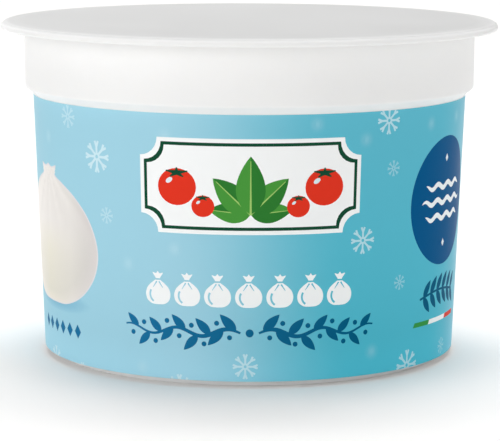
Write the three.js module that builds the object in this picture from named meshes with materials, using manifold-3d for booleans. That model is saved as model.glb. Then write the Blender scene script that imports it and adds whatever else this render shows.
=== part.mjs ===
// A sealed dairy tub for one ball of fresh cheese: a white moulded pot with a
// straight collar and a wide sealing flange, a printed label wrapped round its
// body, and a plain film sealed over its mouth.
//
// Millimetres, +Z up. The origin is the centre of the base, level with the foot
// ring that the tub stands on. The front of the label faces -Y, and its two ends
// meet at the back. The tub is shut and opaque, so the pot is solid.

import * as THREE from 'three';
import { mergeVertices } from 'three/addons/utils/BufferGeometryUtils.js';
import Module from 'manifold-3d';

// Driving dimensions
const TOTAL_HEIGHT = 64;
const RIM_RADIUS = 47.7;
const COLLAR_RADIUS = 43.25;
const BODY_TOP_RADIUS = 41.57;
const BODY_BASE_RADIUS = 39.59;

// Base: a low foot ring, set in under the wall, round a panel that is pushed up a
// little in the middle
const FOOT_HEIGHT = 1.2;
const FOOT_RADIUS = 37.6;
const FOOT_ROUND = 0.4;
const FOOT_LEDGE_RISE = 0.25;
const FOOT_INNER_RADIUS = 35.4;
const FOOT_INNER_ROUND = 0.4;
const PANEL_RADIUS = 33.6;
const PANEL_HEIGHT = 1;
const PANEL_DOME = 0.6;

// Shoulder between the tapering body and the collar above it
const BODY_TOP_Z = 50.1;
const SHOULDER_FILLET = 0.2;
const SHOULDER_SLOPE = 38;
const COLLAR_CORNER_RADIUS = 0.5;
const COLLAR_BASE_Z = 51.75;

// Sealing flange: a thin plate with a lip turned down at its edge
const FLANGE_PLATE = 0.9;
const FLANGE_FILLET = 0.5;
const LIP_DEPTH = 1.3;
const LIP_WIDTH = 1.25;
const LIP_ROUND = 0.35;
const RIM_TOP_ROUND = 0.55;

// Film: flat where it is sealed to the flange, and drawn in slightly inside it
const FILM_THICKNESS = 0.15;
const FILM_RADIUS = 47.1;
const SEAL_INNER_RADIUS = 43.2;
const FILM_SAG = 0.4;

// Label
const LABEL_THICKNESS = 0.12;
const LABEL_BASE_Z = FOOT_HEIGHT;
const LABEL_TOP_Z = 50.05;
const LABEL_END_GAP = 0.8;

// Fineness of the faceted surfaces
const SEGMENTS = 72;
const DISH_STEPS = 6;
const DOME_STEPS = 4;

const TUB_TOP_Z = TOTAL_HEIGHT - FILM_THICKNESS;

const wasm = await Module();
wasm.setup();

function radians(degrees) {
  return THREE.MathUtils.degToRad(degrees);
}

// Points of a round from one angle to another, both ends included. Angles are
// counted from the outward direction towards +Z.
function arc(radius, height, round, fromDegrees, toDegrees, steps) {
  const points = [];
  for (let i = 0; i <= steps; i += 1) {
    const angle = radians(THREE.MathUtils.lerp(fromDegrees, toDegrees, i / steps));
    points.push(new THREE.Vector2(
      radius + round * Math.cos(angle),
      height + round * Math.sin(angle),
    ));
  }
  return points;
}

// Radius of the pot's wall at a height between the foot and the shoulder.
function bodyRadius(z) {
  const share = (z - FOOT_HEIGHT) / (BODY_TOP_Z - FOOT_HEIGHT);
  return THREE.MathUtils.lerp(BODY_BASE_RADIUS, BODY_TOP_RADIUS, share);
}

// Dished middle of the lid, from its centre out to the inside of the seal.
function dishPoints(edgeZ) {
  const points = [];
  for (let i = 0; i <= DISH_STEPS; i += 1) {
    const share = i / DISH_STEPS;
    const sag = FILM_SAG * (1 - share * share);
    points.push(new THREE.Vector2(SEAL_INNER_RADIUS * share, edgeZ - sag));
  }
  return points;
}

function basePoints() {
  const points = [];
  for (let i = 0; i <= DOME_STEPS; i += 1) {
    const share = i / DOME_STEPS;
    const rise = PANEL_DOME * (1 - share * share);
    points.push(new THREE.Vector2(PANEL_RADIUS * share, PANEL_HEIGHT + rise));
  }
  const innerRound = arc(FOOT_INNER_RADIUS, FOOT_INNER_ROUND, FOOT_INNER_ROUND, 210, 270, 2);
  const outerRound = arc(FOOT_RADIUS - FOOT_ROUND, FOOT_ROUND, FOOT_ROUND, 270, 360, 3);
  return [
    ...points,
    ...innerRound,
    ...outerRound,
    new THREE.Vector2(FOOT_RADIUS, FOOT_HEIGHT - FOOT_LEDGE_RISE),
    new THREE.Vector2(BODY_BASE_RADIUS, FOOT_HEIGHT),
  ];
}

// The wall turns out into a sloping shoulder, then up again into the collar.
function shoulderPoints() {
  const filletCentre = BODY_TOP_RADIUS + SHOULDER_FILLET;
  const cornerCentre = COLLAR_RADIUS - COLLAR_CORNER_RADIUS;
  const turn = 90 - SHOULDER_SLOPE;
  const inner = arc(filletCentre, BODY_TOP_Z, SHOULDER_FILLET, 180, 180 - turn, 2);
  const outer = arc(cornerCentre, COLLAR_BASE_Z, COLLAR_CORNER_RADIUS, -turn, 0, 3);
  return [...inner, ...outer];
}

function flangePoints() {
  const plateZ = TUB_TOP_Z - FLANGE_PLATE;
  const lipRoundZ = TUB_TOP_Z - LIP_DEPTH + LIP_ROUND;
  const lipInner = RIM_RADIUS - LIP_WIDTH + LIP_ROUND;
  const lipOuter = RIM_RADIUS - LIP_ROUND;
  const topRound = RIM_RADIUS - RIM_TOP_ROUND;
  const filletZ = plateZ - FLANGE_FILLET;
  return [
    ...arc(COLLAR_RADIUS + FLANGE_FILLET, filletZ, FLANGE_FILLET, 180, 90, 3),
    new THREE.Vector2(RIM_RADIUS - LIP_WIDTH, plateZ),
    ...arc(lipInner, lipRoundZ, LIP_ROUND, 180, 270, 2),
    ...arc(lipOuter, lipRoundZ, LIP_ROUND, 270, 360, 3),
    ...arc(topRound, TUB_TOP_Z - RIM_TOP_ROUND, RIM_TOP_ROUND, 0, 90, 4),
  ];
}

// Turns a profile of radius and height round the Z axis.
function turned(profile) {
  const geometry = new THREE.LatheGeometry(profile, SEGMENTS);
  geometry.rotateX(Math.PI / 2);
  return geometry;
}

function tubGeometry() {
  return turned([
    ...basePoints(),
    new THREE.Vector2(bodyRadius(LABEL_TOP_Z), LABEL_TOP_Z),
    ...shoulderPoints(),
    ...flangePoints(),
    ...dishPoints(TUB_TOP_Z).reverse(),
  ]);
}

function filmGeometry() {
  return turned([
    ...dishPoints(TUB_TOP_Z),
    new THREE.Vector2(FILM_RADIUS, TUB_TOP_Z),
    new THREE.Vector2(FILM_RADIUS, TOTAL_HEIGHT),
    ...dishPoints(TOTAL_HEIGHT).reverse(),
  ]);
}

function asManifold(geometry) {
  geometry.deleteAttribute('normal');
  geometry.deleteAttribute('uv');
  const merged = mergeVertices(geometry);
  return new wasm.Manifold(new wasm.Mesh({
    numProp: 3,
    vertProperties: merged.attributes.position.array,
    triVerts: new Uint32Array(merged.index.array),
  }));
}

function asGeometry(solid) {
  const mesh = solid.getMesh();
  const geometry = new THREE.BufferGeometry();
  geometry.setAttribute('position', new THREE.BufferAttribute(mesh.vertProperties, 3));
  geometry.setIndex(new THREE.BufferAttribute(mesh.triVerts, 1));
  geometry.computeVertexNormals();
  return geometry;
}

// A sleeve round the pot, opened at the back where the label's ends meet.
function labelGeometry() {
  const baseRadius = bodyRadius(LABEL_BASE_Z);
  const topRadius = bodyRadius(LABEL_TOP_Z);
  const sleeve = turned([
    new THREE.Vector2(baseRadius, LABEL_BASE_Z),
    new THREE.Vector2(baseRadius + LABEL_THICKNESS, LABEL_BASE_Z),
    new THREE.Vector2(topRadius + LABEL_THICKNESS, LABEL_TOP_Z),
    new THREE.Vector2(topRadius, LABEL_TOP_Z),
    new THREE.Vector2(baseRadius, LABEL_BASE_Z),
  ]);
  const gap = new THREE.BoxGeometry(LABEL_END_GAP, COLLAR_RADIUS, TOTAL_HEIGHT);
  gap.translate(0, COLLAR_RADIUS, TOTAL_HEIGHT / 2);
  return asGeometry(asManifold(sleeve).subtract(asManifold(gap)));
}

function part(name, geometry, color, roughness) {
  const material = new THREE.MeshStandardMaterial({ color, roughness, metalness: 0 });
  const mesh = new THREE.Mesh(geometry, material);
  mesh.name = name;
  return mesh;
}

const tub = new THREE.Group();
tub.add(part('tub', tubGeometry(), 0xf3f4f3, 0.42));
tub.add(part('lidding_film', filmGeometry(), 0xdedfde, 0.38));
tub.add(part('label', labelGeometry(), 0x7fc3d6, 0.35));

export default tub;
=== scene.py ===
import math
import random

import bpy
import numpy as np
from mathutils import Matrix, Vector
from mathutils.geometry import delaunay_2d_cdt


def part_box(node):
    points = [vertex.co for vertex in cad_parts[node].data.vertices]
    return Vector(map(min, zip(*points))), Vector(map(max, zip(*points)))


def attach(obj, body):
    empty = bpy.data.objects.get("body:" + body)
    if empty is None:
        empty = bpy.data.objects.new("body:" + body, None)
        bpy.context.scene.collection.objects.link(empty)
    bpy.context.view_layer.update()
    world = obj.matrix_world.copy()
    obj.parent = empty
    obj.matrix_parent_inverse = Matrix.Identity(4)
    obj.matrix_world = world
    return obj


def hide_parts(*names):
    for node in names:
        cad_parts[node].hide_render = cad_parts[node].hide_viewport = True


# A sealed dairy tub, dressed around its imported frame: a satin white pot, a plain film sealed over
# its flange, and a printed label, matt to satin. Blender works in metres. Up to the section on the
# stage, sizes are written in millimetres, and a size times MM is in metres.

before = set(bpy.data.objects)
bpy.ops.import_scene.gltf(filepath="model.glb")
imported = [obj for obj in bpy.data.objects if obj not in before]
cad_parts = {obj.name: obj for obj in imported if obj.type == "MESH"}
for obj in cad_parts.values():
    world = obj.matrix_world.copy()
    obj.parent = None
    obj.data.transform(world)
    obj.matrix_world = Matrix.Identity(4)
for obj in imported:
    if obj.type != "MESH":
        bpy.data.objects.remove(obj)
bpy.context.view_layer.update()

MM = 0.001
rng = random.Random(7)

# ---------------------------------------------------------------- sizes from the frame

tub_high = np.array(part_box("tub")[1]) / MM
film_high = np.array(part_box("lidding_film")[1]) / MM
label_low, label_high = [np.array(corner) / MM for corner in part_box("label")]

RIM_RADIUS = tub_high[0]
TUB_TOP = tub_high[2]
FILM_RADIUS = film_high[0]
TOTAL_HEIGHT = film_high[2]
LABEL_BASE = label_low[2]
LABEL_TOP = label_high[2]
LABEL_TOP_RADIUS = label_high[0]

# Label. Its inner face is tucked slightly into the wall, so that no gap shows between them.
LABEL_THICKNESS = 0.12
LABEL_TUCK = 0.02
LABEL_END_GAP = 0.8

# The wall under the label leans out by 1.98 over a height of 48.9
BODY_TAPER = 1.98 / 48.9
WALL_TOP_RADIUS = LABEL_TOP_RADIUS - LABEL_THICKNESS

# Base: a low foot ring, set in under the wall, round a slightly domed panel. The panel has a small
# step and, in its middle, the mark of the mould's gate.
FOOT_HEIGHT = LABEL_BASE
FOOT_RADIUS = 37.6
FOOT_LEDGE_RISE = 0.25
FOOT_ROUND = 0.15
FOOT_INNER_RADIUS = 35.4
FOOT_INNER_ROUND = 0.4
PANEL_RADIUS = 33.6
PANEL_HEIGHT = 1.0
PANEL_DOME = 0.6
PANEL_STEP = 0.25
PANEL_STEP_RADIUS = 24.0
PANEL_STEP_WIDTH = 1.0
GATE_RADIUS = 1.6
GATE_DEPTH = 0.35

# Shoulder, with its slope in degrees, and collar
BODY_TOP_Z = 50.1
SHOULDER_FILLET = 0.2
SHOULDER_SLOPE = 38
COLLAR_RADIUS = 43.25
COLLAR_CORNER = 0.5
COLLAR_BASE_Z = 51.75

# Flange: a thin plate with a lip turned down at its edge
FLANGE_PLATE = 0.9
FLANGE_FILLET = 0.5
LIP_DEPTH = 1.3
LIP_WIDTH = 1.25
LIP_ROUND = 0.35
RIM_TOP_ROUND = 0.85

# Film: drawn in inside its seal, pressed into a shallow ring on the seal, and bent down at its edge
FILM_THICKNESS = TOTAL_HEIGHT - TUB_TOP
SEAL_INNER_RADIUS = 43.2
FILM_SAG = 0.4
FILM_BEND = 1.0
PRESS_DEPTH = 0.04
PRESS_EDGE = 0.35
PRESS_INNER_GAP = 0.4
PRESS_OUTER_GAP = 0.2

# Tension lines in the film: how many waves they add up, how high they are, how far in from the seal
# they reach, and how sharply they end at it
RIPPLE_WAVES = 14
RIPPLE_HEIGHT = 0.004
RIPPLE_REACH = 5
RIPPLE_END = 60

# How finely a turned piece is divided, and the radius under which a point counts as on the axis
TURN_SEGMENTS = 288
ON_AXIS = 1e-6


def wall_radius(z):
    """Radius of the pot's wall at a height between its foot and its shoulder."""
    return WALL_TOP_RADIUS - (LABEL_TOP - z) * BODY_TAPER


# ---------------------------------------------------------------- turned pieces


def linked(name, data):
    """A new object with this data, in the scene."""
    made = bpy.data.objects.new(name, data)
    bpy.context.scene.collection.objects.link(made)
    return made


def arc(radius, height, round_, start, end, steps):
    """Points of a round, with angles in degrees from the outward direction towards +Z."""
    angles = np.radians(np.linspace(start, end, steps + 1))
    return [(radius + round_ * math.cos(a), height + round_ * math.sin(a)) for a in angles]


def soft_step(distance, width):
    """Goes from 0 to 1 where distance passes 0, softly, over about the width."""
    return 1 / (1 + math.exp(-distance / (width / 4)))


def turned(name, profile, sharp_degrees=40):
    """A closed piece turned round the Z axis. The profile runs from the axis back to the axis."""
    angles = 2 * math.pi * np.arange(TURN_SEGMENTS) / TURN_SEGMENTS
    points, rings = [], []
    for radius, z in profile:
        if radius < ON_AXIS:
            rings.append([len(points)] * TURN_SEGMENTS)
            points.append((0, 0, z * MM))
        else:
            rings.append(list(range(len(points), len(points) + TURN_SEGMENTS)))
            points += [(radius * MM * math.sin(a), -radius * MM * math.cos(a), z * MM) for a in angles]
    faces = []
    for low, high in zip(rings, rings[1:]):
        for i in range(TURN_SEGMENTS):
            j = (i + 1) % TURN_SEGMENTS
            corners = [low[i], low[j], high[j], high[i]]
            faces.append(list(dict.fromkeys(corners)))
    mesh = bpy.data.meshes.new(name)
    mesh.from_pydata(points, [], faces)
    mesh.update()
    mesh.shade_smooth()
    mesh.set_sharp_from_angle(angle=math.radians(sharp_degrees))
    return linked(name, mesh)


def base_panel_z(radius):
    """Height of the panel inside the foot ring: a dome with a step and a gate mark."""
    dome = PANEL_DOME * (1 - (radius / PANEL_RADIUS) ** 2)
    step = PANEL_STEP * soft_step(PANEL_STEP_RADIUS - radius, PANEL_STEP_WIDTH)
    gate = GATE_DEPTH * math.exp(-((radius / GATE_RADIUS) ** 4))
    return PANEL_HEIGHT + dome + step + gate


def base_profile():
    """The underside, from its middle out to the foot of the wall."""
    # The rings lie closer together at the gate mark and at the step
    radii = [*np.linspace(0, 3, 10), *np.linspace(4, 22, 10)]
    radii += [*np.linspace(PANEL_STEP_RADIUS - 1.5, PANEL_STEP_RADIUS + 1.5, 13)]
    radii += [*np.linspace(27, PANEL_RADIUS, 6)]
    panel = [(radius, base_panel_z(radius)) for radius in radii]
    inner = arc(FOOT_INNER_RADIUS, FOOT_INNER_ROUND, FOOT_INNER_ROUND, 210, 270, 6)
    outer = arc(FOOT_RADIUS - FOOT_ROUND, FOOT_ROUND, FOOT_ROUND, 270, 360, 8)
    ledge = [(FOOT_RADIUS, FOOT_HEIGHT - FOOT_LEDGE_RISE), (wall_radius(FOOT_HEIGHT), FOOT_HEIGHT)]
    return panel + inner + outer + ledge


def shoulder_profile():
    """From the top of the wall out to the foot of the collar."""
    turn = 90 - SHOULDER_SLOPE
    fillet_radius = wall_radius(BODY_TOP_Z) + SHOULDER_FILLET
    fillet = arc(fillet_radius, BODY_TOP_Z, SHOULDER_FILLET, 180, 180 - turn, 5)
    corner = arc(COLLAR_RADIUS - COLLAR_CORNER, COLLAR_BASE_Z, COLLAR_CORNER, -turn, 0, 6)
    return fillet + corner


def flange_profile():
    """From the top of the collar out round the lip and in again over the rim's top edge."""
    plate_z = TUB_TOP - FLANGE_PLATE
    lip_z = TUB_TOP - LIP_DEPTH + LIP_ROUND
    fillet = arc(COLLAR_RADIUS + FLANGE_FILLET, plate_z - FLANGE_FILLET, FLANGE_FILLET, 180, 90, 6)
    inner = arc(RIM_RADIUS - LIP_WIDTH + LIP_ROUND, lip_z, LIP_ROUND, 180, 270, 5)
    outer = arc(RIM_RADIUS - LIP_ROUND, lip_z, LIP_ROUND, 270, 360, 6)
    top = arc(RIM_RADIUS - RIM_TOP_ROUND, TUB_TOP - RIM_TOP_ROUND, RIM_TOP_ROUND, 0, 90, 10)
    return fillet + [(RIM_RADIUS - LIP_WIDTH, plate_z)] + inner + outer + top


def build_tub():
    """The pot. Under the film it is closed by a pan that the film never touches."""
    pan_depth = 1.2
    pan_z = TUB_TOP - pan_depth
    collar_end = TUB_TOP - 2
    wall = [(wall_radius(z), z) for z in np.linspace(FOOT_HEIGHT, LABEL_TOP, 12)[1:]]
    collar = [(COLLAR_RADIUS, z) for z in np.linspace(COLLAR_BASE_Z, collar_end, 6)[1:]]
    pan = [(SEAL_INNER_RADIUS, TUB_TOP), (SEAL_INNER_RADIUS - pan_depth, pan_z), (0, pan_z)]
    profile = base_profile() + wall + shoulder_profile() + collar + flange_profile() + pan
    return turned("tub_moulding", profile)


def film_top(radius):
    """Height of the film's upper face, apart from its tension lines."""
    share = min(radius / SEAL_INNER_RADIUS, 1)
    sag = FILM_SAG * (1 - share * share)
    inner = soft_step(radius - SEAL_INNER_RADIUS - PRESS_INNER_GAP, PRESS_EDGE)
    outer = soft_step(FILM_RADIUS - FILM_BEND - PRESS_OUTER_GAP - radius, PRESS_EDGE)
    bend = max(radius - FILM_RADIUS + FILM_BEND, 0) / FILM_BEND
    return TOTAL_HEIGHT - sag - PRESS_DEPTH * inner * outer - FILM_THICKNESS * bend * bend


def ripple_share(radius):
    """How much of the tension lines shows: most of them close to the seal, and none right at it."""
    near_seal = math.exp(-(SEAL_INNER_RADIUS - radius) / RIPPLE_REACH)
    return near_seal * (1 - (radius / SEAL_INNER_RADIUS) ** RIPPLE_END)


def build_film():
    """The film: sealed flat to the flange, drawn in inside the seal, with faint tension lines."""
    # The rings lie closer together towards the seal and out from there
    radii = [*np.linspace(0, 36, 14), *np.linspace(37, 42.5, 12)]
    radii += [*np.linspace(42.8, FILM_RADIUS, 34)]
    lower = [(radius, film_top(radius) - FILM_THICKNESS) for radius in radii]
    upper = [(radius, film_top(radius)) for radius in reversed(radii)]
    film = turned("film_lid", lower + upper, sharp_degrees=60)
    # A wave is how often it repeats round the film, its phase and its size
    waves = []
    for _ in range(RIPPLE_WAVES):
        waves.append((rng.randint(9, 46), rng.uniform(0, 2 * math.pi), rng.uniform(0.3, 1)))
    for vertex in film.data.vertices:
        x, y, z = vertex.co
        radius = math.hypot(x, y) / MM
        angle = math.atan2(x, -y)
        if radius > SEAL_INNER_RADIUS or radius < ON_AXIS:
            continue
        ripple = sum(size * math.cos(count * angle + phase) for count, phase, size in waves)
        rippled = z + RIPPLE_HEIGHT * MM * ripple * ripple_share(radius)
        vertex.co.z = min(rippled, TOTAL_HEIGHT * MM)
    film.data.update()
    return film


# ---------------------------------------------------------------- colours


def srgb(red, green, blue):
    """Linear colour of a screen colour given in steps of 255."""

    def linear(value):
        value = value / 255
        return value / 12.92 if value <= 0.04045 else ((value + 0.055) / 1.055) ** 2.4

    return linear(red), linear(green), linear(blue)


INK_WHITE = srgb(247, 249, 249)
INK_FROST = srgb(236, 250, 253)
INK_DEEP_BLUE = srgb(2, 86, 138)
INK_BRIGHT_BLUE = srgb(30, 112, 158)
INK_PETROL = srgb(0, 89, 124)
INK_DARK_GREEN = srgb(24, 74, 52)
INK_GREEN = srgb(74, 150, 62)
INK_MID_GREEN = srgb(48, 122, 50)
INK_LIGHT_GREEN = srgb(160, 200, 110)
INK_FLAG_GREEN = srgb(58, 150, 72)
INK_RED = srgb(225, 56, 37)
INK_PALE = srgb(214, 238, 244)
INK_SHADOW = srgb(70, 150, 190)

# The label's ground: on the left of the front, and on its right, low and high
GROUND_SKY = (*srgb(160, 209, 226), 1)
GROUND_TEAL_LOW = (*srgb(78, 187, 208), 1)
GROUND_TEAL_HIGH = (*srgb(98, 188, 209), 1)

# Linear colours: the edge of the pictured cheese, the two shades that drift into each other on the
# pot and on the film, the colour that each goes towards where they meet, and the floor. The film's
# grey is painted shade on its white top, the pot's colour by the film is painted shade on the rim,
# and the film's paler colour by its edge is where that painted shade eases off.
CHEESE_EDGE = (0.77, 0.74, 0.75)
TUB_SHADES = ((0.86, 0.865, 0.862, 1), (0.89, 0.892, 0.886, 1))
# Painted shade: the pot's colour by the film, greyer than its white
TUB_PAINTED_SHADE_GREY = (0.7, 0.7, 0.697, 1)
FILM_PAINTED_SHADE_GREYS = ((0.565, 0.565, 0.561, 1), (0.585, 0.585, 0.581, 1))
FILM_EDGE_EASED_SHADE = (0.75, 0.75, 0.747, 1)
FLOOR_WHITE = (0.985, 0.968, 0.956, 1)

# ---------------------------------------------------------------- the label's print
#
# The print is drawn on the unrolled label. s runs round the tub in millimetres from the middle of
# the front, to the right as seen, and z is the height. A shape is an outline and a paint, and a
# paint gives a linear colour and how far it covers the ground. Later shapes cover earlier ones.
# Sizes inside a drawing are shares of its own size, or millimetres if it is drawn at one size.

UNROLL_RADIUS = 40.7
LABEL_HALF_LENGTH = math.pi * UNROLL_RADIUS - LABEL_END_GAP / 2
LABEL_QUARTER = math.pi / 2 * UNROLL_RADIUS
VINES_SPAN = 52


def flat(colour, cover=1.0):
    """A paint of one colour all over."""
    return lambda s, z: (*colour, cover)


def vine_blue(s, z):
    """The paint of the vines: bright blue on the left, darker and greener to the right."""
    share = min(max((s + VINES_SPAN / 2) / VINES_SPAN, 0), 1)
    return (*[a + (b - a) * share for a, b in zip(INK_BRIGHT_BLUE, INK_PETROL)], 1.0)


def ellipse(s, z, width, height, count=28, tilt=0.0):
    """Outline of an ellipse, tilted anticlockwise by degrees."""
    angles = np.linspace(0, 2 * math.pi, count, endpoint=False)
    u, v = width / 2 * np.cos(angles), height / 2 * np.sin(angles)
    cos, sin = math.cos(math.radians(tilt)), math.sin(math.radians(tilt))
    return list(zip(s + u * cos - v * sin, z + u * sin + v * cos))


def bar(start, end, width, end_width=None):
    """A straight stroke from start to end, of one width or tapering to another."""
    start, end = np.array(start), np.array(end)
    along = (end - start) / np.linalg.norm(end - start)
    across = np.array((-along[1], along[0])) / 2
    last = across * (width if end_width is None else end_width)
    first = across * width
    return [tuple(point) for point in (start - first, end - last, end + last, start + first)]


def stroke(points, widths):
    """A brush line along points, with a width at each."""
    points = np.array(points)
    along = np.gradient(points, axis=0)
    along /= np.linalg.norm(along, axis=1)[:, None]
    across = np.stack([-along[:, 1], along[:, 0]], axis=1) * np.array(widths)[:, None] / 2
    return [tuple(point) for point in np.concatenate([points - across, (points + across)[::-1]])]


def smooth_line(points, steps):
    """A line that bends smoothly through points, with a number of steps between neighbours."""
    points = np.array(points, dtype=float)
    padded = np.concatenate([[2 * points[0] - points[1]], points, [2 * points[-1] - points[-2]]])
    line = []
    for a, b, c, d in zip(padded, padded[1:], padded[2:], padded[3:]):
        for t in np.arange(steps) / steps:
            bend = (2 * a - 5 * b + 4 * c - d) * t * t + (3 * b - a - 3 * c + d) * t**3
            line.append((2 * b + (c - a) * t + bend) / 2)
    return np.array(line + [points[-1]])


def corner_box(s, z, width, height, size, scooped=False):
    """A box with round corners, or with scooped corners."""
    points = []
    for side_s, side_z, start in ((1, 1, 0), (-1, 1, 90), (-1, -1, 180), (1, -1, 270)):
        corner_s, corner_z = s + side_s * width / 2, z + side_z * height / 2
        if not scooped:
            corner_s, corner_z = corner_s - side_s * size, corner_z - side_z * size
        for step in range(7):
            degrees = start + 270 - 15 * step if scooped else start + 15 * step
            angle = math.radians(degrees)
            points.append((corner_s + size * math.cos(angle), corner_z + size * math.sin(angle)))
    return points


def flake(s, z, size, paint, tilt=0.0):
    """A snow crystal: eight arms with forked ends round an open ring."""
    shapes = []
    here = np.array([s, z])
    reach = size / 2
    thin = reach * 0.16
    for arm in range(8):
        angle = math.radians(45 * arm + tilt)
        out = np.array([math.sin(angle), math.cos(angle)]) * reach
        side = np.array([math.cos(angle), -math.sin(angle)]) * reach
        shapes.append((bar(here + out * 0.24, here + out * 0.82, thin), paint))
        for way in (-1, 1):
            shapes.append((bar(here + out * 0.64, here + out + side * way * 0.14, thin), paint))
    shapes.append((ellipse(s, z, reach * 0.52, reach * 0.52, 16), paint))
    shapes.append((ellipse(s, z, reach * 0.24, reach * 0.24, 12), flat(INK_WHITE, 0.0)))
    return shapes


def glow(s, z):
    """A soft pale spot, brightest in the middle."""
    size, cover = 3.6, 0.24

    def paint(u, v):
        away = min(math.hypot(u - s, v - z) / (size / 2), 1)
        return (*INK_PALE, cover * (1 - away) ** 1.5)

    return [(ellipse(s, z, size * share, size * share, 16), paint) for share in (1, 0.72, 0.44, 0.16)]


def leaf(s, z, length, width, tilt, near, far=None, vein=None):
    """A pointed leaf from its stalk end. Its far half may be darker and it may have a midrib."""
    angle = math.radians(tilt)
    out = np.array([math.sin(angle), math.cos(angle)])
    side = np.array([math.cos(angle), -math.sin(angle)])
    share = np.linspace(0, 1, 13)[:, None]
    middle = np.array([s, z]) + out * length * share
    half = side * width / 2 * np.sin(math.pi * share**0.8) ** 0.85
    right, left = middle + half, middle - half
    shapes = [([tuple(point) for point in np.concatenate([right, left[-2:0:-1]])], near)]
    if far is not None:
        shapes.append(([tuple(point) for point in np.concatenate([right, middle[-2:0:-1]])], far))
    if vein is not None:
        shapes.append((bar(middle[0], middle[-2], length * 0.035, length * 0.012), vein))
    return shapes


def tomato(s, z, size):
    """A cherry tomato with a gleam and a green star."""
    shapes = [(ellipse(s, z, size, size * 0.94), flat(INK_RED))]
    gleam = ellipse(s - size * 0.2, z + size * 0.16, size * 0.2, size * 0.12, 12, 35)
    shapes.append((gleam, flat(INK_WHITE, 0.7)))
    top = (s, z + size * 0.36)
    for arm in range(5):
        angle = math.radians(72 * arm)
        tip = (s + size * 0.3 * math.sin(angle), top[1] + size * 0.13 * math.cos(angle))
        shapes.append((bar(top, tip, size * 0.12, size * 0.03), flat(INK_DARK_GREEN)))
    return shapes


def plaque(s, z):
    """The plaque in the middle of the front: a basil sprig between tomatoes on white."""
    width, height, scoop, line = 41, 17.4, 3.4, 0.75
    shapes = []
    for inset, ink in ((0, INK_WHITE), (2 * line, INK_DARK_GREEN), (3.6 * line, INK_WHITE)):
        box = corner_box(s, z, width - inset, height - inset, scoop, scooped=True)
        shapes.append((box, flat(ink)))
    root = z - 5.0
    inks = [flat(ink) for ink in (INK_GREEN, INK_MID_GREEN, INK_LIGHT_GREEN)]
    for tilt, length in ((-84, 7.6), (84, 7.6), (-46, 9.4), (46, 9.4), (0, 10.6)):
        shapes += leaf(s, root, length, length * 0.5, tilt, *inks)
    for way in (-1, 1):
        shapes += tomato(s + way * 13.4, z - 0.2, 7.2)
        shapes += tomato(s + way * 8.6, z - 3.6, 4.2)
    return shapes


# Half outline of the small cheese: distance from its middle and height, in shares of its height
ICON_OUTLINE = (
    (0, 0), (0.2, 0.02), (0.35, 0.13), (0.4, 0.31), (0.35, 0.49), (0.22, 0.63), (0.1, 0.72),
    (0.07, 0.79), (0.17, 0.95), (0.06, 0.93), (0, 1.0),
)


def cheese_icon(s, z, height):
    """A small ball of cheese tied at the top. Its tie, pleats and gleam are left open."""
    foot = z - height / 2
    half = [tuple(point) for point in smooth_line(ICON_OUTLINE, 4)]
    both = half + [(-u, v) for u, v in half[-2:0:-1]]
    bare = flat(INK_WHITE, 0.0)

    def placed(line):
        return [(s + u * height, foot + v * height) for u, v in line]

    shapes = [(placed(both), flat(INK_WHITE))]
    shapes.append((bar(*placed([(-0.13, 0.755), (0.13, 0.755)]), height * 0.05), bare))
    for way in (-1, 1):
        start, end = placed([(way * 0.035, 0.69), (way * 0.16, 0.5)])
        shapes.append((bar(start, end, height * 0.05, height * 0.015), bare))
    angles = np.radians(np.linspace(150, 235, 10))
    gleam = [(0.26 * math.cos(angle), 0.3 + 0.26 * math.sin(angle)) for angle in angles]
    shapes.append((stroke(placed(gleam), np.full(10, height * 0.06)), bare))
    return shapes


def vine(s, z, way, length):
    """A wavy stem that leaves s to one side, with leaves above and below it and berries."""
    wave_height, wave_length = 0.7, 9.6

    def stem_z(reach):
        return z + wave_height * np.sin(reach * 2 * math.pi / wave_length)

    reach = np.linspace(0, length, 70)
    widths = np.interp(reach, [0, length * 0.15, length], [0.4, 0.85, 0.3])
    shapes = [(stroke(np.stack([s + way * reach, stem_z(reach)], axis=1), widths), vine_blue)]
    # The leaves stand evenly along the stem, in turn above and below, and shrink towards its tip
    for place in range(9):
        stalk = 0.8 + place * (length - 2.6) / 8.4
        up = 1 if place % 2 == 0 else -1
        size = 4.3 - 0.13 * place
        tilt = way * (90 - up * 46)
        shapes += leaf(s + way * stalk, stem_z(stalk), size, size * 0.42, tilt, vine_blue)
        berry_z = stem_z(stalk + 1.0) - up * 1.5
        shapes.append((ellipse(s + way * (stalk + 1.2), berry_z, 0.95, 0.95, 12), vine_blue))
    return shapes


def diamond(s, z, width, height, paint):
    """An upright diamond."""
    points = [(s - width / 2, z), (s, z - height / 2), (s + width / 2, z), (s, z + height / 2)]
    return [(points, paint)]


def badge(s, z, size):
    """A deep blue disc with two small diamonds and three waves."""
    shapes = [(ellipse(s, z, size, size, 72), flat(INK_DEEP_BLUE))]
    for way in (-1, 1):
        shapes += diamond(s, z + way * size * 0.33, 1.2, 1.5, flat(INK_WHITE, 0.85))
    for row in (-1, 0, 1):
        half = size * (0.36 - 0.05 * abs(row))
        reach = np.linspace(-half, half, 41)
        line = z + row * size * 0.12 + 0.42 * np.sin(reach * 2 * math.pi / 4.4)
        widths = 0.85 * (1 - (np.abs(reach) / half) ** 6) + 0.12
        shapes.append((stroke(np.stack([s + reach, line], axis=1), widths), flat(INK_WHITE, 0.9)))
    return shapes


def branch(s, z, length, paint):
    """A slim arched branch with paired leaves."""
    arch = 1.0
    reach = np.linspace(-length / 2, length / 2, 30)
    line = z + arch * np.cos(reach / length * math.pi)
    shapes = [(stroke(np.stack([s + reach, line], axis=1), np.full(30, 0.45)), paint)]
    for stalk in np.linspace(-0.42, 0.42, 6):
        stalk_z = z + arch * math.cos(stalk * math.pi)
        for way in (-1, 1):
            shapes += leaf(s + stalk * length, stalk_z, 3.9, 1.6, 90 - way * 52, paint)
    return shapes


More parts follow.
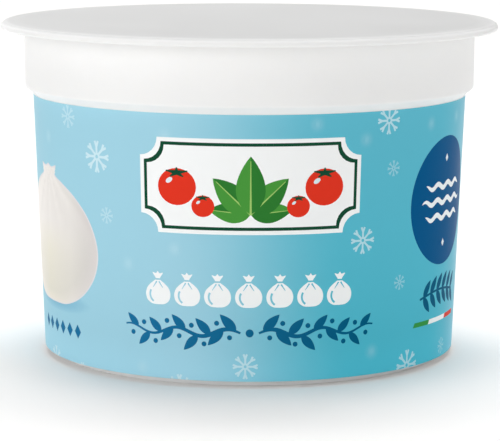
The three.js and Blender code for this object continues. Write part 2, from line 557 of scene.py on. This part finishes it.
def tricolour(s, z, lengths, width):
    """A short slanted stripe in green, white and red."""
    shapes = []
    slant = 0.5
    low, high = z - width / 2, z + width / 2
    for length, ink in zip(lengths, (INK_FLAG_GREEN, INK_WHITE, INK_RED)):
        end = s + length
        shapes.append(([(s, low), (end, low), (end + slant, high), (s + slant, high)], flat(ink)))
        s = end
    return shapes


# Half outline of the pictured cheese: distance from its middle and height, in shares of its height.
# After it, its greatest half width, the height of its middle and the height of its neck.
CHEESE_OUTLINE = (
    (0, 0), (0.23, 0.012), (0.43, 0.09), (0.57, 0.225), (0.625, 0.38), (0.605, 0.53), (0.52, 0.68),
    (0.38, 0.8), (0.23, 0.875), (0.125, 0.915), (0.115, 0.955), (0.135, 0.99), (0.06, 0.975),
    (0, 0.995),
)
CHEESE_HALF_WIDTH = 0.625
CHEESE_MIDDLE = 0.42
CHEESE_NECK = 0.93


def burrata(s, z, height):
    """A white ball of cheese gathered to a neck, shaded as if lit from the upper left."""
    right = smooth_line([(s + u * height, z + v * height) for u, v in CHEESE_OUTLINE], 5)
    left = (right * (-1, 1) + (2 * s, 0))[-2:0:-1]
    outline = np.concatenate([right, left])
    middle = np.array([s, z + CHEESE_MIDDLE * height])
    half = CHEESE_HALF_WIDTH * height
    neck_z = z + CHEESE_NECK * height

    def paint(u, v):
        across = (u - s) / half
        up = (v - middle[1]) / (CHEESE_MIDDLE * height)
        edge = max(min(math.hypot(across, min(up, 0.6)), 1) - 0.82, 0) / 0.18
        low = min(max(0.4 - up, 0) * 2, 1)
        # Pleats fan out from the neck and fade towards the middle
        bend = math.atan2(u - s, neck_z + 1.5 - v)
        gather = min(max(up, 0), 1) ** 1.3
        pleats = math.cos(bend * 15) + 0.6 * math.cos(bend * 27 + 1)
        # Darker to the right and to the foot, with light from the ground along the lower edge
        shade = 0.84 - 0.085 * across - 0.22 * max(across - 0.5, 0) - 0.08 * max(0.2 - up, 0)
        shade += 0.03 * pleats * gather + 0.09 * edge * low
        cream = 0.09 * low * max(1 - abs(across + 0.1), 0)
        return shade, shade * (0.964 - 0.02 * edge), shade * (0.925 - cream), 1.0

    shapes = [([tuple(point) for point in outline], flat(CHEESE_EDGE))]
    # The outline repeats inwards, so that the shading has corners to run between
    for scale in (0.982, 0.96, 0.92, 0.86, 0.76, 0.64, 0.5, 0.34, 0.16):
        inner = middle + (outline - middle) * scale
        shapes.append(([tuple(point) for point in inner], paint))
    return shapes


def soft_shadow(s, z, width, height, cover):
    """A bluish shadow that fades out towards its edge."""

    def paint(u, v):
        away = min(math.hypot((u - s) / (width / 2), (v - z) / (height / 2)), 1)
        return (*INK_SHADOW, cover * (1 - away * away))

    shares = (1, 0.8, 0.6, 0.4, 0.2)
    return [(ellipse(s, z, width * share, height * share, 40), paint) for share in shares]


def back_panel(s, z, width, height):
    """A paler box with a dark head and thin ruled lines, on the back."""
    top = z + height / 2
    margin, first_line, pitch = 3, 9, 3.6
    shapes = [(corner_box(s, z, width, height, 2.5), flat(INK_WHITE, 0.55))]
    head = corner_box(s, top - 4.2, width - 2 * margin, 3.2, 1.2)
    shapes.append((head, flat(INK_DEEP_BLUE)))
    for row in range(7):
        line_z = top - first_line - row * pitch
        line = bar((s - width / 2 + margin, line_z), (s + width / 2 - margin, line_z), 0.3)
        shapes.append((line, flat(INK_DEEP_BLUE, 0.8)))
    return shapes


# Snow on the front, as s, z and size, and soft spots there, as s and z
FRONT_FLAKES = (
    (-30.1, 41.1, 5.8), (26.7, 48.2, 5.0), (21.7, 26.5, 4.9), (-0.6, 4.0, 4.6),
    (34.0, 1.7, 5.8), (-13.1, -0.5, 5.2), (-36.5, -1.0, 5.2), (-47.5, 0.4, 5.2),
)
FRONT_FAINT_FLAKES = (
    (-38.1, 47.8, 4.2), (-28.1, 30.4, 3.0), (28.2, 39.3, 2.9), (30.9, 17.8, 2.8), (47.4, 3.3, 3.2),
)
FRONT_GLOWS = (
    (-46.4, 43.2), (-15.3, 46.0), (-23.3, 21.9), (-13.7, 25.3), (12.1, 48.2), (21.8, 45.0),
    (38.4, 46.7), (49.6, 47.1), (-20.7, 2.9), (24.5, 5.5),
)

# Snow behind lies in a loose grid on each side, from so far round up to the label's end
BACK_SNOW_START = 66
BACK_SNOW_MARGIN = 2
BACK_SNOW_COLUMNS = 9
BACK_SNOW_ROWS = 4


def front_snow(bright, faint):
    """Soft spots and crystals on the front, at listed places."""
    shapes = []
    for s, z in FRONT_GLOWS:
        shapes += glow(s, z)
    for s, z, size in FRONT_FLAKES:
        shapes += flake(s, z, size, bright)
    for s, z, size in FRONT_FAINT_FLAKES:
        shapes += flake(s, z, size, faint)
    return shapes


def back_snow_cell(way, column, row, bright, faint):
    """One cell of the snow behind: a large crystal, a small faint one, a soft spot or nothing."""
    across = (column + rng.uniform(0.2, 0.8)) / BACK_SNOW_COLUMNS
    up = (row + rng.uniform(0.15, 0.85)) / BACK_SNOW_ROWS
    kind, tilt = rng.random(), rng.uniform(0, 45)
    length = LABEL_HALF_LENGTH - BACK_SNOW_START - BACK_SNOW_MARGIN
    s = way * (BACK_SNOW_START + length * across)
    z = LABEL_BASE + (LABEL_TOP - LABEL_BASE) * up
    if kind < 0.3:
        return flake(s, z, 5.6, bright, tilt)
    if kind < 0.6:
        return flake(s, z, 3.2, faint, tilt)
    if kind < 0.9:
        return glow(s, z)
    return []


def snow():
    """The snow on the whole label."""
    bright = flat(INK_FROST, 0.5)
    faint = flat(INK_FROST, 0.28)
    shapes = front_snow(bright, faint)
    for way in (-1, 1):
        for column in range(BACK_SNOW_COLUMNS):
            for row in range(BACK_SNOW_ROWS):
                shapes += back_snow_cell(way, column, row, bright, faint)
    return shapes


# Where the pictures are: s and z of the middle, or of the foot of the large cheese, then the sizes
SHADOW_PLACE = (-45, 12.4, 24, 4.4)
CHEESE_PLACE = (-47.3, 11.7, 26.6)
PLAQUE_PLACE = (0.3, 37)
BADGE_PLACE = (45.4, 31.6, 24.4)
BRANCH_PLACE = (45, 13.6, 15.4)
BACK_PANEL_PLACE = (93, 25.6, 44, 38)
BACK_FLAKE_PLACE = (-96, 27, 17)

# The row of small cheeses, with its middle at s = 0
ICONS = 7
ICONS_Z = 18.0
ICON_SPACING = 5.7
ICON_HEIGHT = 6.2

# The two vines, as the way that each runs and s of its start, and the dot between them
VINES_Z = 10.2
VINE_LENGTH = 22.6
VINE_STARTS = ((1, 1.9), (-1, -1.5))
VINE_DOT_S = 0.2
VINE_DOT_SIZE = 1.5

# The row of small diamonds under the large cheese
GEMS = 6
GEMS_S = -44.9
GEMS_Z = 7.3
GEM_SPACING = 2.9
GEM_SIZE = (2.1, 2.7)

# The stripe: its left end, the lengths of its colours and its width
STRIPE_PLACE = (35.4, 8.9)
STRIPE_LENGTHS = (5.3, 7.5, 6)
STRIPE_WIDTH = 0.9


def artwork():
    """All shapes of the print, from the lowest to the topmost."""
    shapes = snow()
    shapes += soft_shadow(*SHADOW_PLACE, 0.45)
    shapes += burrata(*CHEESE_PLACE)
    shapes += plaque(*PLAQUE_PLACE)
    for place in range(ICONS):
        shapes += cheese_icon((place - (ICONS - 1) / 2) * ICON_SPACING, ICONS_Z, ICON_HEIGHT)
    shapes.append((ellipse(VINE_DOT_S, VINES_Z, VINE_DOT_SIZE, VINE_DOT_SIZE, 16), vine_blue))
    for way, start in VINE_STARTS:
        shapes += vine(start, VINES_Z, way, VINE_LENGTH)
    shapes += badge(*BADGE_PLACE)
    shapes += branch(*BRANCH_PLACE, flat(INK_PETROL))
    shapes += tricolour(*STRIPE_PLACE, STRIPE_LENGTHS, STRIPE_WIDTH)
    for place in range(GEMS):
        s = GEMS_S + (place - (GEMS - 1) / 2) * GEM_SPACING
        shapes += diamond(s, GEMS_Z, *GEM_SIZE, flat(INK_BRIGHT_BLUE))
    shapes += back_panel(*BACK_PANEL_PLACE)
    shapes += flake(*BACK_FLAKE_PLACE, flat(INK_WHITE, 0.8))
    return shapes


# ---------------------------------------------------------------- the label's mesh

# The grid that the label is cut along besides its outlines: columns in a quarter, and rows
GRID_COLUMNS = 60
GRID_ROWS = 13

# Rows of the label's square texture, as lowest place, height and side margin in shares of its side
FRONT_ROW = (0.605, 0.387, 0.005)
BACK_ROW = (0.2, 0.387, 0.005)
INNER_ROW = (0.02, 0.15, 0.01)


def label_point(s, z, inward=0.0):
    """Where a point of the unrolled label is in the scene, or a point so far inside it."""
    radius = wall_radius(z) + LABEL_THICKNESS - inward
    angle = s / UNROLL_RADIUS
    return radius * MM * math.sin(angle), -radius * MM * math.cos(angle), z * MM


def label_outward(s):
    """The way that the label's outer face looks at s: outwards, and slightly down by its taper."""
    angle, slope = s / UNROLL_RADIUS, math.atan(BODY_TAPER)
    level = math.cos(slope)
    return Vector((math.sin(angle) * level, -math.cos(angle) * level, -math.sin(slope)))


def grid_lines():
    """Lines of a fine grid over the unrolled label, so that it bends evenly round the pot."""
    half = LABEL_HALF_LENGTH
    steps = range(1 - 2 * GRID_COLUMNS, 2 * GRID_COLUMNS)
    columns = [LABEL_QUARTER * step / GRID_COLUMNS for step in steps]
    rows = np.linspace(LABEL_BASE, LABEL_TOP, GRID_ROWS + 1)[1:-1]
    lines = [((s, LABEL_BASE), (s, LABEL_TOP)) for s in columns]
    return lines + [((-half, z), (half, z)) for z in rows]


def print_triangles(shapes):
    """Cuts the unrolled label along every outline and a fine grid. Returns the points, the
    triangles, and the number of the topmost shape that each triangle shows, or -1."""
    points, edges, faces = [], [], []
    inside_only, tolerance = 1, 1e-5

    def add_outline(outline):
        start = len(points)
        points.extend(Vector(point) for point in outline)
        faces.append(list(range(start, len(points))))

    half = LABEL_HALF_LENGTH
    add_outline([(-half, LABEL_BASE), (half, LABEL_BASE), (half, LABEL_TOP), (-half, LABEL_TOP)])
    for outline, _ in shapes:
        area = sum(a[0] * b[1] - b[0] * a[1] for a, b in zip(outline, outline[1:] + outline[:1]))
        add_outline(outline if area > 0 else outline[::-1])
    for start, end in grid_lines():
        edges.append((len(points), len(points) + 1))
        points.extend((Vector(start), Vector(end)))
    cut = delaunay_2d_cdt(points, edges, faces, inside_only, tolerance)
    found, _, triangles, _, _, origins = cut
    kept, shown = [], []
    for triangle, origin in zip(triangles, origins):
        if 0 in origin:
            kept.append(triangle)
            shown.append(max(origin) - 1)
    used = sorted({corner for triangle in kept for corner in triangle})
    place = {old: new for new, old in enumerate(used)}
    kept = [[place[corner] for corner in triangle] for triangle in kept]
    return [tuple(found[old]) for old in used], kept, shown


def label_faces(triangles, count):
    """The triangles of the outer face, the same ones of the inner face, whose points are numbered
    from count on, and a band that joins both along the label's border."""
    sides = {}
    for triangle in triangles:
        for a, b in zip(triangle, triangle[1:] + triangle[:1]):
            sides[a, b] = True
    border = [(a, b) for a, b in sides if (b, a) not in sides]
    outer = [list(triangle) for triangle in triangles]
    inner = [[corner + count for corner in reversed(triangle)] for triangle in triangles]
    return outer + inner + [[b, a, a + count, b + count] for a, b in border]


def bake_place(s, z, front, inner):
    """Where a point of the label lies on its square texture: the front half in one row, the back
    half in the next, and the hidden inner face and the edges in a narrow last row."""
    if inner:
        along, row = s / LABEL_HALF_LENGTH, INNER_ROW
    elif front:
        along, row = s / LABEL_QUARTER, FRONT_ROW
    else:
        from_back = s - 2 * LABEL_QUARTER if s > 0 else s + 2 * LABEL_QUARTER
        along, row = from_back / LABEL_QUARTER, BACK_ROW
    up = (z - LABEL_BASE) / (LABEL_TOP - LABEL_BASE)
    low, height, margin = row
    return margin + (1 - 2 * margin) * (along + 1) / 2, low + height * up


def label_paint(polygon, shapes, shown):
    """The paint that a face of the label shows."""
    if polygon.index >= len(shown):
        return flat(INK_WHITE)
    if shown[polygon.index] < 0:
        return flat(INK_WHITE, 0.0)
    return shapes[shown[polygon.index]][1]


def label_normal(polygon, s, outer):
    """The shading normal of a face of the label at s. The first faces, outer of them, are those of
    the outer side, and as many of the inner side come next."""
    if polygon.index < outer:
        return label_outward(s)
    if polygon.index < 2 * outer:
        return -label_outward(s)
    return polygon.normal


def dress_corners(mesh, flat_points, shapes, shown):
    """Gives each corner of the label's faces its ink, its place on the texture and its normal."""
    count, outer, corners = len(flat_points), len(shown), len(mesh.loops)
    inks = np.zeros((corners, 4), dtype=np.float32)
    places = np.zeros((corners, 2), dtype=np.float32)
    normals = np.zeros((corners, 3))
    for polygon in mesh.polygons:
        middle = np.mean([flat_points[corner % count] for corner in polygon.vertices], axis=0)
        front = abs(middle[0]) < LABEL_QUARTER
        paint = label_paint(polygon, shapes, shown)
        for loop in polygon.loop_indices:
            s, z = flat_points[mesh.loops[loop].vertex_index % count]
            inks[loop] = paint(s, z)
            places[loop] = bake_place(s, z, front, polygon.index >= outer)
            normals[loop] = label_normal(polygon, s, outer)
    layer = mesh.color_attributes.new("ink", "FLOAT_COLOR", "CORNER")
    layer.data.foreach_set("color", inks.ravel())
    uv = mesh.uv_layers.new(name="OFBake")
    uv.data.foreach_set("uv", places.ravel())
    mesh.shade_smooth()
    mesh.normals_split_custom_set(normals)


def build_label():
    """The label: a thin closed skin round the pot's wall, with its print in its own faces."""
    shapes = artwork()
    flat_points, triangles, shown = print_triangles(shapes)
    vertices = [label_point(s, z) for s, z in flat_points]
    vertices += [label_point(s, z, LABEL_THICKNESS + LABEL_TUCK) for s, z in flat_points]
    mesh = bpy.data.meshes.new("label_wrap")
    mesh.from_pydata(vertices, [], label_faces(triangles, len(flat_points)))
    mesh.update()
    dress_corners(mesh, flat_points, shapes, shown)
    return linked("label_wrap", mesh)


# ---------------------------------------------------------------- materials

# The stretch of the rim below the film that is greyed towards the film's colour: painted shade on the
# rim's top round
RIM_PAINTED_SHADE_HEIGHT = 0.4

# The film turns paler over the flange up to one radius, and thins out from another to its edge, each
# by a share of the way to the paler colour. This paler colour is partly the white flange under the
# thin sealed film and partly the film's painted shade easing off.
SEALED_RADIUS = 45.5
SEALED_SHADE_EASE = 0.15
THIN_RADIUS = 46.0
EDGE_SHADE_EASE = 0.6

# The soft borders of the hatch pressed into the seal
HATCH_INNER = (43.7, 44.0)
HATCH_OUTER = (45.9, 46.2)

# The hatch's pitch along the radius. Round the tub it has the same pitch at HATCH_RADIUS.
HATCH_PITCH = 0.9
HATCH_RADIUS = 45


def new_material(name):
    """A material, its node tree and its shader."""
    material = bpy.data.materials.new(name)
    material.use_nodes = True
    tree = material.node_tree
    return material, tree, tree.nodes["Principled BSDF"]


def node(tree, kind, settings=None, **inputs):
    """Adds a node, sets its own settings, and links or sets its inputs by name, or by number with
    an i before it."""
    made = tree.nodes.new(kind)
    for key, value in (settings or {}).items():
        setattr(made, key, value)
    for key, value in inputs.items():
        numbered = key[0] == "i" and key[1:].isdigit()
        socket = made.inputs[int(key[1:]) if numbered else key]
        if isinstance(value, bpy.types.NodeSocket):
            tree.links.new(value, socket)
        else:
            socket.default_value = value
    return made


def maths(tree, operation, first, second=0.0, third=0.0):
    """The result of an operation on one, two or three values."""
    made = node(tree, "ShaderNodeMath", {"operation": operation}, i0=first, i1=second, i2=third)
    return made.outputs[0]


def mixed(tree, share, first, second):
    """A colour between first, at a share of 0, and second, at 1."""
    made = node(tree, "ShaderNodeMix", {"data_type": "RGBA"}, i0=share, i6=first, i7=second)
    return made.outputs[2]


def noise_value(tree, place, scale, detail):
    """A cloudy value, mostly between 0.3 and 0.7. Its scale is in clouds to the metre."""
    made = node(tree, "ShaderNodeTexNoise", Vector=place, Scale=scale, Detail=detail)
    return made.outputs["Fac"]


def ranged(tree, value, low, high, to_low, to_high, smooth=False):
    """A value from one range, stretched over another and held at its ends."""
    kind = {"interpolation_type": "SMOOTHSTEP" if smooth else "LINEAR"}
    limits = {"i1": low, "i2": high, "i3": to_low, "i4": to_high}
    return node(tree, "ShaderNodeMapRange", kind, i0=value, **limits).outputs[0]


def spread(tree, noise, to_low, to_high):
    """A noise value, stretched over a range."""
    return ranged(tree, noise, 0.3, 0.7, to_low, to_high)


def bumped(tree, shader, heights, distance):
    """Gives the shader's normal a bump from several heights, each with its own strength."""
    normal = None
    for height, strength in heights:
        made = node(tree, "ShaderNodeBump", Strength=strength, Distance=distance, Height=height)
        if normal is not None:
            tree.links.new(normal, made.inputs["Normal"])
        normal = made.outputs["Normal"]
    tree.links.new(normal, shader.inputs["Normal"])


def tub_plastic():
    """Satin white plastic. Its last stretch up to the film is greyed towards the film's colour:
    painted shade on the rim's top round.
    """
    material, tree, shader = new_material("tub_plastic")
    place = node(tree, "ShaderNodeTexCoord").outputs["Object"]
    flow = noise_value(tree, place, 30, 4)
    fine = noise_value(tree, place, 900, 2)
    plastic = mixed(tree, spread(tree, flow, 0.0, 1.0), *TUB_SHADES)
    height = node(tree, "ShaderNodeSeparateXYZ", Vector=place).outputs["Z"]
    # Painted shade: the rim's top round turns towards the film's grey
    painted_shade_base = (TUB_TOP - RIM_PAINTED_SHADE_HEIGHT) * MM
    painted_shade_share = ranged(tree, height, painted_shade_base, TUB_TOP * MM, 0.0, 1.0, smooth=True)
    plastic = mixed(tree, painted_shade_share, plastic, TUB_PAINTED_SHADE_GREY)
    tree.links.new(plastic, shader.inputs["Base Color"])
    tree.links.new(spread(tree, flow, 0.34, 0.42), shader.inputs["Roughness"])
    shader.inputs["Subsurface Weight"].default_value = 0.15
    shader.inputs["Subsurface Radius"].default_value = (4 * MM, 3.8 * MM, 3.4 * MM)
    shader.inputs["Subsurface Scale"].default_value = 0.5
    shader.inputs["Specular IOR Level"].default_value = 0.2
    bumped(tree, shader, ((flow, 0.05), (fine, 0.03)), 0.4 * MM)
    return material


def seal_hatch(tree, x, y, radius):
    """Height of the cross-hatch: two sets of spiral lines, within the sealed ring only."""
    pitch = 2 * math.pi / (HATCH_PITCH * MM)
    angle = maths(tree, "MULTIPLY", maths(tree, "ARCTAN2", x, y), HATCH_RADIUS * MM * pitch)
    along = maths(tree, "MULTIPLY", radius, pitch)
    first = maths(tree, "SINE", maths(tree, "ADD", angle, along))
    second = maths(tree, "SINE", maths(tree, "SUBTRACT", angle, along))
    hatch = maths(tree, "MULTIPLY", first, second)
    inside = ranged(tree, radius, *[r * MM for r in HATCH_INNER], 0.0, 1.0, smooth=True)
    outside = ranged(tree, radius, *[r * MM for r in HATCH_OUTER], 1.0, 0.0, smooth=True)
    return maths(tree, "MULTIPLY", hatch, maths(tree, "MULTIPLY", inside, outside))


def film_plastic():
    """Satin film. Its grey is painted shade on its white top. It is paler where it is sealed to the
    white flange and thins out at its edge, partly from the flange under it and partly as that painted
    shade eases off, and a cross-hatch is pressed into the sealed ring."""
    material, tree, shader = new_material("lidding_film")
    place = node(tree, "ShaderNodeTexCoord").outputs["Object"]
    axes = node(tree, "ShaderNodeSeparateXYZ", Vector=place)
    x, y = axes.outputs["X"], axes.outputs["Y"]
    squares = maths(tree, "ADD", maths(tree, "MULTIPLY", x, x), maths(tree, "MULTIPLY", y, y))
    radius = maths(tree, "SQRT", squares)
    cloud = noise_value(tree, place, 45, 4)
    fine = noise_value(tree, place, 1200, 2)
    # Painted shade: the film's grey stands for the dim light on its white top
    film = mixed(tree, spread(tree, cloud, 0.0, 1.0), *FILM_PAINTED_SHADE_GREYS)
    seal_start, seal_end = SEAL_INNER_RADIUS * MM, SEALED_RADIUS * MM
    # Painted shade eases off over the seal and towards the edge, with the white flange partly showing
    # through
    sealed_shade_ease = ranged(tree, radius, seal_start, seal_end, 0.0, SEALED_SHADE_EASE, smooth=True)
    thin_start, thin_end = THIN_RADIUS * MM, FILM_RADIUS * MM
    thin = ranged(tree, radius, thin_start, thin_end, 0.0, EDGE_SHADE_EASE, smooth=True)
    film = mixed(tree, maths(tree, "ADD", sealed_shade_ease, thin), film, FILM_EDGE_EASED_SHADE)
    tree.links.new(film, shader.inputs["Base Color"])
    tree.links.new(spread(tree, cloud, 0.42, 0.5), shader.inputs["Roughness"])
    shader.inputs["Specular IOR Level"].default_value = 0.5
    hatch = seal_hatch(tree, x, y, radius)
    bumped(tree, shader, ((cloud, 0.06), (fine, 0.04), (hatch, 0.1)), 0.3 * MM)
    return material


def label_ground(tree, place):
    """The colour under the inks. It turns from sky blue to turquoise across the front, along a line
    that leans and wavers, and back again round the right side. Its foot is slightly lighter:
    painted light where the shaded floor beside it leaves it dim."""
    # Both turns lie between two angles, in radians from the middle of the front
    to_teal, to_sky = (-0.35, 0.52), (1.0, 1.75)
    waver, lean, painted_foot_light = 0.12, 0.1, 1.13
    axes = node(tree, "ShaderNodeSeparateXYZ", Vector=place)
    x, y, z = (axes.outputs[name] for name in "XYZ")
    angle = maths(tree, "ARCTAN2", x, maths(tree, "MULTIPLY", y, -1))
    height = ranged(tree, z, 0.0, 50 * MM, 0.0, 1.0)
    cloud = noise_value(tree, place, 26, 3)
    drift = maths(tree, "MULTIPLY_ADD", cloud, waver, -waver / 2)
    turned_by = maths(tree, "ADD", angle, drift)
    turned_by = maths(tree, "MULTIPLY_ADD", height, lean, turned_by)
    side = ranged(tree, turned_by, *to_teal, 0.0, 1.0, smooth=True)
    side = maths(tree, "MULTIPLY", side, ranged(tree, angle, *to_sky, 1.0, 0.0, smooth=True))
    teal = mixed(tree, height, GROUND_TEAL_LOW, GROUND_TEAL_HIGH)
    ground = mixed(tree, side, GROUND_SKY, teal)
    # Painted light: the ground is lighter towards its foot, where the floor's shade would darken it
    painted_light_gain = ranged(tree, z, 1.5 * MM, 9 * MM, painted_foot_light, 1.0, smooth=True)
    lit = node(tree, "ShaderNodeVectorMath", {"operation": "SCALE"}, i0=ground, Scale=painted_light_gain)
    return lit.outputs[0]


def label_print():
    """Printed film, matt to satin: a ground, and over it the inks that come with the mesh."""
    material, tree, shader = new_material("label_print")
    place = node(tree, "ShaderNodeTexCoord").outputs["Object"]
    ground = label_ground(tree, place)
    ink = node(tree, "ShaderNodeVertexColor", {"layer_name": "ink"})
    colour = mixed(tree, ink.outputs["Alpha"], ground, ink.outputs["Color"])
    tree.links.new(colour, shader.inputs["Base Color"])
    fine = noise_value(tree, place, 700, 2)
    wave = noise_value(tree, place, 60, 2)
    tree.links.new(spread(tree, wave, 0.3, 0.38), shader.inputs["Roughness"])
    shader.inputs["Specular IOR Level"].default_value = 0.01
    bumped(tree, shader, ((wave, 0.04), (fine, 0.03)), 0.4 * MM)
    return material


def dress(piece, cad_node, material):
    """Gives a piece its material, hangs it on the root body, and hides the frame's part that it
    replaces.
    """
    piece.data.materials.append(material)
    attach(piece, "root")
    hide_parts(cad_node)


# ---------------------------------------------------------------- stage, light and camera
#
# Metres and watts from here on

# The floor lies just clear of the foot
FLOOR_HALF = 2.5
FLOOR_GAP = 0.00002

# Soft panels of light all round: azimuth to the right of the front, elevation, both in degrees,
# how narrow the panel is, and its strength
LIGHT_PANELS = (
    (-60, 12, 10, 2.9), (0, 12, 10, 1.8), (90, 12, 10, 1.7), (-150, 12, 10, 1.15),
    (135, 45, 8, 0.75), (180, 45, 8, 0.4), (0, 90, 30, 4.2),
)

# Soft boxes above: azimuth, elevation and power. All are as far off, as wide and aimed alike.
SOFT_BOXES = ((150, 65, 1.1), (-150, 65, 1.0), (0, 80, 0.45), (180, 80, 0.2))
SOFT_BOX_DISTANCE = 0.8
SOFT_BOX_WIDTH = 0.3
SOFT_BOX_AIM = Vector((0, 0, 0.04))

# The wide soft box behind the tub
BACKDROP_PLACE = (0, 1.5, 0.8)
BACKDROP_WIDTH = 2.4
BACKDROP_DEPTH = 1.0
BACKDROP_POWER = 5.5

# The camera, with its angles in radians and its lens in millimetres
CAMERA_DISTANCE = 0.50728
CAMERA_HEIGHT = 0.10136
CAMERA_PITCH = 0.1498
CAMERA_ROLL = 0.0037
CAMERA_YAW = 0.0004
CAMERA_LENS = 189.42


def build_floor():
    """A plain pale floor, large enough to be the background too."""
    half = FLOOR_HALF
    mesh = bpy.data.meshes.new("floor")
    corners = [(-half, -half, 0), (half, -half, 0), (half, half, 0), (-half, half, 0)]
    mesh.from_pydata(corners, [], [(0, 1, 2, 3)])
    floor = linked("floor", mesh)
    floor.location.z = -FLOOR_GAP
    material, _, shader = new_material("floor_white")
    shader.inputs["Base Color"].default_value = FLOOR_WHITE
    shader.inputs["Roughness"].default_value = 0.9
    shader.inputs["Specular IOR Level"].default_value = 0.0
    floor.data.materials.append(material)


def way_to(azimuth, elevation):
    """The direction from the tub to a place round it, by degrees."""
    turn, rise = math.radians(azimuth), math.radians(elevation)
    level = math.cos(rise)
    return Vector((math.sin(turn) * level, -math.cos(turn) * level, math.sin(rise)))


def build_world():
    """A studio of soft panels, dimmer straight behind the tub."""
    world = bpy.data.worlds.new("studio")
    bpy.context.scene.world = world
    world.use_nodes = True
    tree = world.node_tree
    direction = node(tree, "ShaderNodeTexCoord").outputs["Generated"]
    dot = {"operation": "DOT_PRODUCT"}
    total = 0.0
    for azimuth, elevation, sharpness, strength in LIGHT_PANELS:
        axis = way_to(azimuth, elevation)
        facing = node(tree, "ShaderNodeVectorMath", dot, i0=direction, i1=axis).outputs["Value"]
        share = maths(tree, "POWER", maths(tree, "MAXIMUM", facing, 0.0), sharpness)
        total = maths(tree, "MULTIPLY_ADD", share, strength, total)
    background = tree.nodes["Background"]
    background.inputs["Color"].default_value = (1, 1, 1, 1)
    tree.links.new(total, background.inputs["Strength"])


def build_soft_boxes():
    """Square soft boxes round and above the tub."""
    for number, (azimuth, elevation, power) in enumerate(SOFT_BOXES):
        light = bpy.data.lights.new(f"soft_box_{number}", "AREA")
        light.shape = "SQUARE"
        light.size = SOFT_BOX_WIDTH
        light.energy = power
        lamp = linked(f"soft_box_{number}", light)
        lamp.location = way_to(azimuth, elevation) * SOFT_BOX_DISTANCE
        towards = SOFT_BOX_AIM - lamp.location
        lamp.rotation_euler = towards.to_track_quat("-Z", "Y").to_euler()


def build_backdrop_light():
    """A wide soft box over the ground behind the tub, which keeps the background white."""
    light = bpy.data.lights.new("backdrop_light", "AREA")
    light.shape = "RECTANGLE"
    light.size = BACKDROP_WIDTH
    light.size_y = BACKDROP_DEPTH
    light.energy = BACKDROP_POWER
    lamp = linked("backdrop_light", light)
    lamp.location = BACKDROP_PLACE


def build_camera():
    """Stands in front of the tub, a little above it, and looks slightly down."""
    pitch, roll, yaw = CAMERA_PITCH, CAMERA_ROLL, CAMERA_YAW
    camera = bpy.data.cameras.new("camera")
    camera.sensor_width = 36
    camera.sensor_fit = "HORIZONTAL"
    camera.lens = CAMERA_LENS
    camera.clip_end = 50
    rig = linked("camera", camera)
    level = math.cos(pitch)
    forward = Vector((math.sin(yaw) * level, math.cos(yaw) * level, -math.sin(pitch)))
    right = Vector((math.cos(yaw), -math.sin(yaw), 0))
    up = right.cross(forward)
    tilted_right = right * math.cos(roll) + up * math.sin(roll)
    tilted_up = up * math.cos(roll) - right * math.sin(roll)
    turn = Matrix((tilted_right, tilted_up, -forward)).transposed().to_4x4()
    rig.matrix_world = Matrix.Translation((0, -CAMERA_DISTANCE, CAMERA_HEIGHT)) @ turn
    bpy.context.scene.camera = rig


dress(build_tub(), "tub", tub_plastic())
dress(build_film(), "lidding_film", film_plastic())
dress(build_label(), "label", label_print())

build_floor()
build_world()
build_soft_boxes()
build_backdrop_light()
build_camera()

scene = bpy.context.scene
scene.view_settings.view_transform = "Standard"
scene.view_settings.look = "None"
